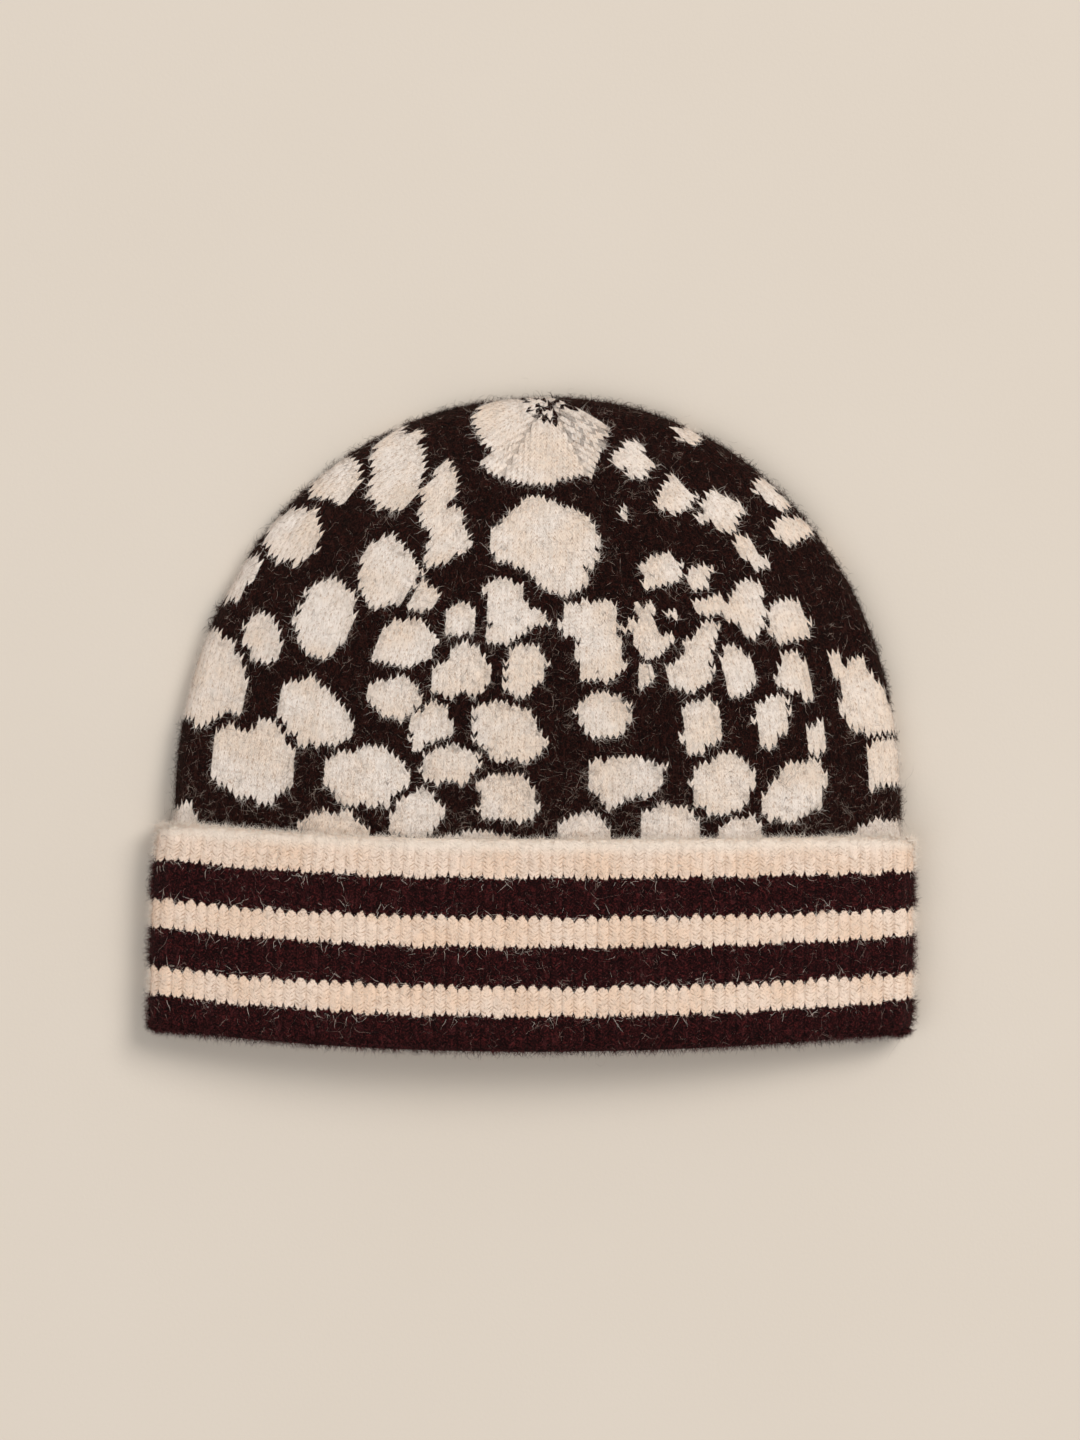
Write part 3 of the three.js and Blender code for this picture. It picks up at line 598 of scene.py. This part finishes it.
class Core:
    """The core surface on a fine grid, read between its points."""

    def __init__(self):
        turn = np.arange(CORE_TURNS) / CORE_TURNS
        height = np.arange(0, BEANIE_HEIGHT + CORE_STEP / 2, CORE_STEP)
        self.points = core(*np.meshgrid(turn, height))
        around = np.roll(self.points, -1, 1) - np.roll(self.points, 1, 1)
        along = np.gradient(self.points, axis=0)
        self.normals = -unit(np.cross(around, along))
        self.normals[-1] = self.normals[-2]

    def read(self, turn, height):
        t = (turn % 1) * CORE_TURNS
        h = np.clip(height / CORE_STEP, 0, len(self.points) - 1.001)
        i, k = t.astype(int), h.astype(int)
        u, v = (t - i)[..., None], (h - k)[..., None]
        i0, i1 = i % CORE_TURNS, (i + 1) % CORE_TURNS
        found = []
        for grid in (self.points, self.normals):
            found.append(mix(mix(grid[k, i0], grid[k, i1], u), mix(grid[k + 1, i0], grid[k + 1, i1], u), v))
        return found[0], unit(found[1])

    def stand_off(self, turn, height, off):
        point, normal = self.read(turn, height)
        return point + normal * np.asarray(off)[..., None], normal

    def lengths(self, height, off=0.0):
        """Distances round the surface at a height, with the turns that they belong to."""
        turn = np.arange(CORE_TURNS + 1) / CORE_TURNS
        ring, _ = self.stand_off(turn, np.full(turn.shape, height), off)
        return turn, np.concatenate([[0], np.cumsum(np.linalg.norm(np.diff(ring, axis=0), axis=1))])


def rib_depth(height):
    return RIB_RELIEF * (1 - LIP_SMOOTHING * smooth((height - CUFF_HEIGHT) / LIP_HEIGHT + 1))


def upper_share(normal):
    """1 on the upper side, and less round the side folds."""
    return smooth((1 + normal[:, 2]) / 0.7)


def cuff_flare(height, normal):
    """How far the band's outer layer stands off beyond its gap."""
    return CUFF_FLARE * clamp01(height / CUFF_HEIGHT) ** 2 * upper_share(normal)


def free_edge_drop(turn, height):
    """How far the band's outer layer is rounded down at the side folds."""
    ends = smooth((np.abs(np.cos(turn * math.tau)) - 0.95) / 0.05)
    return FREE_EDGE_DROP * ends * clamp01(height / CUFF_HEIGHT) ** 8


# The knitted pieces

def add_piece(name, material, points, corners, counts, uv, uv_name="knit", replaces=None, yarn=None):
    """A mesh piece from its corner list, in millimetres. yarn holds a value for each face."""
    mesh = bpy.data.meshes.new(name)
    place = (np.asarray(points) - (MIDDLE_X, MIDDLE_Y, 0)) * 0.001
    mesh.vertices.add(len(place))
    mesh.vertices.foreach_set("co", place.astype(np.float32).ravel())
    mesh.loops.add(len(corners))
    mesh.loops.foreach_set("vertex_index", corners.astype(np.int32))
    mesh.polygons.add(len(counts))
    mesh.polygons.foreach_set("loop_start", np.concatenate([[0], np.cumsum(counts)[:-1]]).astype(np.int32))
    mesh.update(calc_edges=True)
    mesh.polygons.foreach_set("use_smooth", np.ones(len(counts), bool))
    mesh.uv_layers.new(name=uv_name).data.foreach_set("uv", uv.astype(np.float32).ravel())
    if yarn is not None:
        mesh.attributes.new("yarn", "FLOAT", "FACE").data.foreach_set("value", yarn.astype(np.float32))
    mesh.materials.append(material)
    piece = new_object(name, mesh)
    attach(piece, "root")
    if replaces:
        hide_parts(replaces)


def skin(ids, across, along):
    """Faces between neighbouring rows of vertex numbers. Where two columns have run together they narrow to
    triangles, or go. Gives the corners, their stitch coordinates, and each face's size, row and column."""
    right = np.roll(ids, -1, 1)
    a, b, c, d = ids[:-1], right[:-1], right[1:], ids[1:]
    corners = np.stack([a, d, c, b], -1)
    always = np.ones(a.shape, bool)
    keep = np.stack([always, always, d != c, a != b], -1)
    faces = keep.sum(-1) > 2
    row, column = np.nonzero(faces)
    corners, keep = corners[faces], keep[faces]
    wide = np.append(across, across[-1] + across[1] - across[0])
    uv = np.stack([wide[column[:, None] + (0, 0, 1, 1)], along[row[:, None] + (0, 1, 1, 0)]], -1)
    return corners[keep], uv[keep], keep.sum(-1), row, column


def in_spots(x, y, spots):
    """Which places lie inside any of the outlines."""
    found = np.zeros(x.shape, bool)
    for outline in spots:
        xs, ys = np.reshape(outline, (-1, 2)).T
        near = (x > xs.min()) & (x < xs.max()) & (y > ys.min()) & (y < ys.max())
        px, py = x[near], y[near]
        inside = np.zeros(px.shape, bool)
        for ax, ay, bx, by in zip(xs, ys, np.roll(xs, -1), np.roll(ys, -1)):
            if ay != by:
                inside ^= ((ay > py) != (by > py)) & (px < ax + (py - ay) * (bx - ax) / (by - ay))
        found[near] |= inside
    return found


def back_spots(rng):
    """Spots of the lower sheet, in the same manner as the upper one's."""
    spots = []
    way = np.arange(12) / 12 * math.tau
    for row, y in enumerate(np.arange(*BACK_ROWS)):
        for x in np.arange(*BACK_COLUMNS) + (row % 2) * BACK_COLUMNS[2] / 2:
            size = rng.uniform(*BACK_SIZE) * rng.uniform(*BACK_UNEVEN, 12)
            tall = rng.uniform(*BACK_TALL)
            xs = x + rng.uniform(*BACK_JITTER) + size * np.cos(way)
            ys = y + rng.uniform(*BACK_JITTER) + size * tall * np.sin(way)
            spots.append(np.stack([xs, ys], -1))
    return spots


def cream_stitches(points, upper, rng):
    """Which stitches are cream, from the place of their middles, and how well the cream covers."""
    x, y, z = points[:, 0], points[:, 1], points[:, 2]
    near = CAMERA_HEIGHT * 1000 / (CAMERA_HEIGHT * 1000 - z)
    seen_x = CHART_MIDDLE[0] + (x - MIDDLE_X - CAMERA_XY[0] * 1000) * near * CHART_SCALE
    seen_y = CHART_MIDDLE[1] + (y - MIDDLE_Y - CAMERA_XY[1] * 1000) * near * CHART_SCALE
    loose_x, loose_y = rng.normal(0, LOOSE_EDGE, (2, len(x)))
    front = in_spots(seen_x + loose_x, seen_y + loose_y, SPOTS) & ~in_spots(seen_x, seen_y, DARK_BITS)
    back = in_spots(x, y, back_spots(rng))
    across = x / (CROWN_WIDTH / 2 + np.sign(x) * CROWN_SHIFT)
    cream = np.where(upper | (np.abs(across) > SIDE_SHARE), front, back)
    speckled = in_spots(seen_x, seen_y, GATHER) & upper
    thin = in_spots(seen_x, seen_y, THIN) & upper & cream
    cover = np.where(rng.random(len(x)) < THIN_SHARE, THIN_COVER, FULL_COVER)
    return np.where(speckled, rng.random(len(x)) < GATHER_SHARE, cream), np.where(thin, cover, 1)


SEAM_TURN = math.acos(SEAM_SHARE) / math.tau
SEAMS = np.array([0, SEAM_TURN, 0.5 - SEAM_TURN, 0.5, 0.5 + SEAM_TURN, 1 - SEAM_TURN, 1])  # turns
STEPS = np.arange(-WALES, WALES)  # a gore's half wales, from its middle


class CrownRows:
    """The crown's points. A row has one on each seam and one for each half wale that a gore still has there.
    A column that has ended goes on in the seam's point."""

    def __init__(self, cloth):
        self.cloth = cloth
        self.points, self.normals, self.ids, self.total = [], [], [], 0
        self.heights = np.arange(CROWN_RIM, BEANIE_HEIGHT + 0.1, 0.5)
        widths = []
        for height in self.heights:
            turn, reached = cloth.lengths(height)
            widths.append(np.diff(np.interp(SEAMS, turn, reached)))
        self.shares = np.minimum.accumulate(np.array(widths), axis=0) / widths[0]

    def add(self, points, normals, ids):
        self.points.append(points)
        self.normals.append(normals)
        self.ids.append(ids)
        self.total += len(points)

    def add_tip(self, y, way):
        ids = np.full(2 * WALES * GORES, self.total)
        self.add(np.array([[TIP_SHIFT, y, EDGE_RADIUS]]), np.array([[0, way, 0]]), ids)

    def spread(self, height):
        """A row's turns, which of them are in the middle of a wale, and the point that each column takes."""
        turn, reached = self.cloth.lengths(height)
        at = np.interp(SEAMS, turn, reached)
        ids = np.zeros((GORES, 2 * WALES), int)
        turns, phases, firsts, count = [], [], [], self.total
        for gore in range(GORES):
            live = WALES * np.interp(height, self.heights, self.shares[:, gore])
            pitch = (at[gore + 1] - at[gore]) / (2 * live)
            kept = np.abs(STEPS) < live - 0.35
            kept[0] = False
            middle = (at[gore] + at[gore + 1]) / 2
            turns += [[SEAMS[gore]], np.interp(middle + STEPS[kept] * pitch, reached, turn)]
            phases += [[0], STEPS[kept] % 2]
            ids[gore, kept] = count + 1 + np.arange(kept.sum())
            firsts.append(count)
            count += 1 + kept.sum()
        for gore in range(GORES):
            ended = ids[gore] == 0
            ids[gore, ended & (STEPS <= 0)] = firsts[gore]
            ids[gore, ended & (STEPS > 0)] = firsts[(gore + 1) % GORES]
        return np.concatenate(turns), np.concatenate(phases), ids.ravel()

    def add_plain(self, height):
        """A row of the inside."""
        turns, _, ids = self.spread(height)
        self.add(*self.cloth.stand_off(turns, np.full(turns.shape, height), -WALL), ids)

    def add_stitched(self, height, mid_row, rng):
        """A row of the outside, with the stitches' teeth and relief, and the seams' darts."""
        turns, phases, ids = self.spread(height)
        fade = smooth((height - CROWN_RIM) / 4) * smooth((BEANIE_HEIGHT - height) / 8)
        off_line = np.abs(np.abs(np.cos(turns * math.tau)) - SEAM_SHARE) * CROWN_WIDTH / 2
        dart = smooth((height - BEANIE_HEIGHT + DART_LENGTH) / DART_FADE)
        dent = SEAM_DEPTH * dart * clamp01(1 - off_line / SEAM_HALF_WIDTH)
        heights = height + TOOTH * fade * (0.5 - phases)
        relief = np.where(phases == 1, 0.08 * (1 - mid_row), WALE_RELIEF * (1 - 0.25 * mid_row))
        heights += fade * rng.normal(0, UNEVEN_HEIGHT, turns.shape)
        turns = turns + fade * rng.normal(0, UNEVEN_TURN, turns.shape)
        off = -(relief + np.abs(rng.normal(0, UNEVEN_SURFACE, turns.shape))) * fade - dent
        heights = np.minimum(heights, BEANIE_HEIGHT - 0.05)
        self.add(*self.cloth.stand_off(turns, heights, off), ids)


def face_yarn(ids, row, column, first, cream):
    """How much cream each face shows, with painted shade in the creases at the seams."""
    stitch = (row - first) // 2
    outside = (row >= first) & (stitch < len(cream))
    yarn = np.where(outside, cream[np.clip(stitch, 0, len(cream) - 1), column // 2], INSIDE_TONE)
    yarn[stitch >= len(cream)] = 1
    on_seam = np.isin(ids, ids[:, ::2 * WALES])
    at_seam = on_seam[row, column] | np.roll(on_seam, -1, 1)[row, column]
    dart = smooth((COURSE * stitch + CROWN_RIM - BEANIE_HEIGHT + DART_LENGTH / 2) / DART_FADE)
    # Painted shade: cream faces at the seams' creases are blended towards the dark yarn
    return yarn * (1 - CREASE_SHADE * at_seam * dart * outside)


def make_crown(cloth, rng):
    """The crown, with a column for each half wale and a row for each half course. Gives the stitches' middles
    and normals, which of them are cream, and which lie at a spot's edge."""
    rows = CrownRows(cloth)
    rows.add_tip(BEANIE_HEIGHT - WALL, -1.0)
    for share in INSIDE_ROWS:
        rows.add_plain(mix(CROWN_RIM, BEANIE_HEIGHT, share))
    first = len(rows.ids)
    count = int((BEANIE_HEIGHT - CROWN_RIM - 0.6) / (COURSE / 2)) // 2 * 2
    for k in range(count + 1):
        rows.add_stitched(CROWN_RIM + k * COURSE / 2, k % 2, rng)
    rows.add_tip(BEANIE_HEIGHT, 1.0)

    points, normals, ids = np.concatenate(rows.points), np.concatenate(rows.normals), np.array(rows.ids)
    middles = ids[first + 1:first + count:2, 1::2]
    places, facing = points[middles.ravel()], normals[middles.ravel()]
    found = cream_stitches(places, facing[:, 2] > 0, rng)
    cream, cover = (part.reshape(middles.shape) for part in found)
    border = np.zeros(cream.shape, bool)
    for step, axis in ((1, 0), (-1, 0), (1, 1), (-1, 1)):
        border |= np.roll(cream, step, axis) != cream

    along = (np.arange(len(ids)) - first) / 2
    corners, uv, counts, row, column = skin(ids, np.arange(ids.shape[1]) / 2, along)
    yarn = face_yarn(ids, row, column, first, cream * cover)
    material = crown_material()
    add_piece("crown_knit", material, points, corners, counts, uv, replaces="crown", yarn=yarn)
    _, once = np.unique(middles.ravel(), return_index=True)
    return places[once], facing[once], cream.ravel()[once], border.ravel()[once]


def cuff_profile():
    """The band's section: stand-off, height, relief, whether it flares, and distance along the cloth."""
    fold = WALL + LAYER_GAP / 2
    edge = WALL / 2
    inner_top = CROWN_RIM - SEAM_GAP
    slot_end = fold + SEAM_GAP
    profile = [(-WALL, h, -RIB_RELIEF_INSIDE, 0, -h) for h in np.linspace(inner_top, fold, 12)]
    for k in range(1, 10):
        way = math.pi * (1 - k / 10)
        off, height = LAYER_GAP / 2 + fold * math.cos(way), fold - fold * math.sin(way)
        relief = mix(-RIB_RELIEF_INSIDE, RIB_RELIEF, k / 10) * (k / 10 if k > 5 else 1 - k / 10)
        profile.append((off, height, relief, 0, fold * (k / 5 - 1)))
    top, relief = CUFF_HEIGHT - edge, rib_depth(CUFF_HEIGHT)
    for h in np.linspace(fold, top, int((top - fold) / RIB_ROW)):
        profile.append((LAYER_OFFSET, h, rib_depth(h), 1, h))
    for k in (1, 2, 3, 4):
        way = k / 4 * math.pi / 2
        off = LAYER_OFFSET - edge * (1 - math.cos(way))
        profile.append((off, top + edge * math.sin(way), relief * (1 - k / 4), 1, top + edge * way))
    return profile + [
        (LAYER_GAP, CUFF_HEIGHT - edge / 2, 0, 1, CUFF_HEIGHT + 1),
        (LAYER_GAP, slot_end, 0, 0, CUFF_HEIGHT + 3),
        (0, slot_end, 0, 0, -slot_end),
        (0, inner_top, 0, 0, -inner_top),
    ]


def make_cuff(cloth):
    """The band: inner layer, fold, ribbed outer layer and free edge, as in the solids."""
    _, reached = cloth.lengths(CUFF_HEIGHT / 2, LAYER_OFFSET)
    ribs = round(reached[-1] / RIB_PITCH)
    columns = ribs * RIB_COLUMNS
    turn, reached = cloth.lengths(CUFF_HEIGHT / 2)
    turns = np.interp(np.arange(columns) / columns * reached[-1], reached, turn)
    depth = np.tile(COMB, ribs)
    points, along = [], []
    for off, height, relief, flares, distance in cuff_profile():
        heights = np.full(columns, height)
        _, normal = cloth.read(turns, heights)
        flare = cuff_flare(heights, normal)
        heights -= flares * free_edge_drop(turns, heights)
        point, _ = cloth.stand_off(turns, heights, off + flares * flare - relief * depth)
        points.append(point)
        along.append(distance)
    ids = np.arange(len(points) * columns).reshape(-1, columns)
    ids = np.vstack([ids, ids[:1]])
    along = np.array(along + [along[-1] - 1])
    corners, uv, counts, _, _ = skin(ids, np.arange(columns) / RIB_COLUMNS, along)
    points = np.concatenate(points)
    add_piece("cuff_knit", cuff_material(), points, corners, counts, uv, replaces="cuff")


# Brushed fibres

# Length, lift, curl, thickness and number of straight parts
KINDS = {
    "short": ((1.1, 2.6), (0.1, 0.7), 0.2, 0.07, 1),
    "curled": ((2.0, 4.4), (0.15, 0.7), 0.7, 0.055, 3),
    "hair": ((1.4, 3.8), (0.1, 0.6), 1.2, 0.032, 3),
    "stray": ((4.0, 8.5), (0.1, 0.4), 1.6, 0.038, 6),
    "halo": ((0.8, 1.8), (1.0, 2.2), 0.4, 0.06, 1),
    "fringe": ((0.8, 2.2), (1.8, 3.4), 0.4, 0.085, 1),
    "wisp": ((1.3, 3.0), (1.0, 2.1), 0.9, 0.075, 2),
}
ROOT_DEPTH, ROOT_JITTER, FLOOR_CLEARANCE = 0.1, 0.7, 0.15
SWAY, DROOP, TAPER = 0.3, 0.55, 0.75
LOWER_SHARE = 0.3  # how much of the unseen lower side is brushed too
CUFF_ROOTS, EDGE_ROOTS = 60000, 20000

# Pieces of fibres: the material's name, colours, sheen and scale of tone, then each batch's place and count
CROWN_FUZZ = {
    "crown_fuzz_light": (
        ("cream_fibre", tint(CREAM, 0.76), (0.96, 0.88, 0.8), 0.05, 850),
        [("light", 5000, "short"), ("edge", 13000, "short"), ("light", 900, "curled"),
         ("edge", 2400, "curled"), ("light_side", 2500, "halo")],
    ),
    "crown_fuzz_dark": (
        ("dark_fibre", tint(DARK, 0.7), tint(DARK, 9), 0.02, 850),
        [("dark", 12000, "short"), ("dark", 1300, "curled"), ("dark_side", 5000, "halo"),
         ("dark_side", 900, "wisp")],
    ),
    "crown_hairs": (
        ("pale_hair", (0.06, 0.023, 0.015), (0.66, 0.53, 0.44), 0.01, 260),
        [("dark", 2800, "hair"), ("dark_edge", 3200, "hair"), ("shown", 900, "stray"), ("low", 800, "stray")],
    ),
}
CUFF_FUZZ = {
    "cuff_fuzz_light": (
        ("cream_rib_fibre", (0.91, 0.775, 0.66), (0.98, 0.9, 0.81), 0.04, 850),
        [("light", 9000, "short"), ("light", 800, "curled"), ("edge", 700, "curled"),
         ("light_side", 2000, "fringe"), ("lip", 2600, "fringe"), ("lip", 4500, "short"),
         ("lip", 2200, "curled")],
    ),
    "cuff_fuzz_dark": (
        ("dark_rib_fibre", tint(DARK_CUFF, 0.7), tint(DARK_CUFF, 9), 0.03, 850),
        [("dark", 8000, "short"), ("dark", 900, "curled"), ("dark_side", 2000, "fringe"),
         ("hem", 7500, "fringe"), ("dark_side", 500, "wisp"), ("hem", 1500, "wisp"), ("hem", 500, "curled")],
    ),
    "cuff_hairs": (
        ("pale_rib_hair", (0.07, 0.025, 0.023), (0.6, 0.45, 0.38), 0.02, 260),
        [("dark", 900, "hair"), ("edge", 1500, "hair"), ("shown", 500, "stray")],
    ),
}


def fibres(roots, normals, kind, rng):
    """Bent, tapered fibres of three sides each, that start just under the cloth's surface."""
    length, lift, curl, thick, segments = KINDS[kind]
    count = len(roots)
    tangent = unit(np.cross(normals, rng.normal(size=(count, 3))))
    side = np.cross(normals, tangent)
    reach = rng.uniform(*length, count)[:, None]
    rise = rng.uniform(*lift, count)[:, None]
    bend = rng.uniform(-curl, curl, count)[:, None]
    wave = rng.uniform(0.6, 1.5, count)[:, None]
    start = rng.uniform(0, math.tau, count)[:, None]
    share = np.linspace(0, 1, segments + 1)
    path = []
    for s in share:
        sway = bend * (np.sin(start + math.tau * wave * s) - np.sin(start)) * SWAY
        path.append(
            roots - normals * ROOT_DEPTH + tangent * reach * s + side * reach * (sway + bend * s * s)
            + normals * reach * rise * (s - DROOP * s * s)
        )
    path = np.stack(path, 1)
    path[..., 2] = np.maximum(path[..., 2], FLOOR_CLEARANCE)
    points = []
    for k in range(segments):
        ring = thick * (1 - TAPER * share[k])
        for turn in (0, 1, 2):
            way = turn * math.tau / 3
            points.append(path[:, k] + ring * (math.cos(way) * side + math.sin(way) * normals))
    points.append(path[:, -1])
    faces = [(0, 1, 2)]
    for k in range(segments - 1):
        for a, b in ((0, 1), (1, 2), (2, 0)):
            faces += [(3 * k + a, 3 * k + 3 + a, 3 * k + b), (3 * k + b, 3 * k + 3 + a, 3 * k + 3 + b)]
    last = 3 * segments
    faces += [(last - 3, last, last - 2), (last - 2, last, last - 1), (last - 1, last, last - 3)]
    return np.stack(points, 1), np.array(faces)


def scatter(roots, normals, count, kind, rng):
    """Fibres of one kind on places picked at random."""
    pick = rng.integers(0, len(roots), count)
    jitter = rng.uniform(-ROOT_JITTER, ROOT_JITTER, (count, 3))
    jitter -= normals[pick] * (jitter * normals[pick]).sum(-1, keepdims=True)
    return fibres(roots[pick] + jitter, normals[pick], kind, rng)


def make_fuzz(name, material, batches, areas, rng):
    """One mesh of many fibres. Each fibre has a small cell of its own in the piece's map."""
    grid = math.ceil(math.sqrt(sum(count for _, count, _ in batches)))
    parts = []
    base = fibre = 0
    for area, count, kind in batches:
        points, faces = scatter(*areas[area], count, kind, rng)
        each = points.shape[1]
        number = np.arange(count)
        corners = base + number[:, None, None] * each + faces
        cell = fibre + number
        origin = np.stack([cell % grid, cell // grid], -1) + 0.2
        spread = np.stack([np.arange(each) % 3 / 2, np.arange(each) / (each - 1)], -1) * 0.6
        uv = (origin[:, None, None] + spread[faces]) / grid
        parts.append((points.reshape(-1, 3), corners.reshape(-1), uv.reshape(-1, 2)))
        base += count * each
        fibre += count
    points, corners, uv = (np.concatenate(part) for part in zip(*parts))
    counts = np.full(len(corners) // 3, 3)
    add_piece(name, fibre_material(*material), points, corners, counts, uv, "OFBake")


def on_stripes(along, loose):
    cream = np.zeros(along.shape, bool)
    for low, high in STRIPES:
        cream |= (along > low + loose) & (along < high - loose)
    return cream


def brushed(normals, rng):
    """Which places carry fibres: all that may be seen, and some of the lower side."""
    return (normals[:, 2] > -0.3) | (rng.random(len(normals)) < LOWER_SHARE)


def crown_fuzz(places, normals, cream, border, rng):
    outer = places[:, 1] > CUFF_HEIGHT - 1
    shown = outer & brushed(normals, rng)
    side = outer & (np.abs(normals[:, 2]) < 0.55)
    chosen = {
        "light": shown & cream, "dark": shown & ~cream,
        "edge": shown & cream & border, "dark_edge": shown & ~cream & border,
        "light_side": side & cream, "dark_side": side & ~cream,
        "shown": shown, "low": shown & (places[:, 1] < CUFF_HEIGHT + 22),
    }
    areas = {area: (places[which], normals[which]) for area, which in chosen.items()}
    for name, (material, batches) in CROWN_FUZZ.items():
        make_fuzz(name, material, batches, areas, rng)


def round_edge(cloth, middle_off, middle_height, radius, way, flare, rng):
    """Places and directions on a rounded edge of the band. way is the range of degrees round its middle."""
    turn = rng.random(EDGE_ROOTS)
    height = np.full(EDGE_ROOTS, middle_height)
    height -= free_edge_drop(turn, height)
    point, normal = cloth.read(turn, height)
    along = unit(cloth.read(turn, height + 2)[0] - point)
    angle = np.radians(rng.uniform(*way, EDGE_ROOTS))[:, None]
    out = np.cos(angle) * normal + np.sin(angle) * along
    off = middle_off + flare * upper_share(normal)[:, None]
    root = point + normal * off + out * radius
    kept = out[:, 2] > -0.4
    return root[kept], unit(out)[kept]


def cuff_fuzz(cloth, rng):
    turn, reached = cloth.lengths(CUFF_HEIGHT / 2)
    turn = np.interp(rng.random(CUFF_ROOTS), reached / reached[-1], turn)
    along = rng.uniform(0.6, CUFF_HEIGHT - 0.4, CUFF_ROOTS)
    _, normals = cloth.read(turn, along)
    flare = cuff_flare(along, normals)
    height = along - free_edge_drop(turn, along)
    roots, normals = cloth.stand_off(turn, height, LAYER_OFFSET + flare - 0.25)
    shown = brushed(normals, rng)
    pale, side = on_stripes(along, 0.4), np.abs(normals[:, 2]) < 0.5
    chosen = {
        "light": shown & pale, "dark": shown & ~pale, "light_side": side & pale, "dark_side": side & ~pale,
        "edge": shown & on_stripes(along, -1.2) & ~on_stripes(along, 0.6), "shown": shown,
    }
    areas = {area: (roots[which], normals[which]) for area, which in chosen.items()}
    half, gap = WALL / 2, LAYER_GAP / 2
    areas["lip"] = round_edge(
        cloth, LAYER_OFFSET - half, CUFF_HEIGHT - half, half - 0.1, (20, 110), CUFF_FLARE, rng,
    )
    areas["hem"] = round_edge(cloth, gap, WALL + gap, WALL + gap - 0.2, (-110, -20), 0, rng)
    for name, (material, batches) in CUFF_FUZZ.items():
        make_fuzz(name, material, batches, areas, rng)


def main():
    rng = np.random.default_rng(11)
    set_stage()
    cloth = Core()
    stitches = make_crown(cloth, rng)
    make_cuff(cloth)
    crown_fuzz(*stitches, rng)
    cuff_fuzz(cloth, rng)


main()
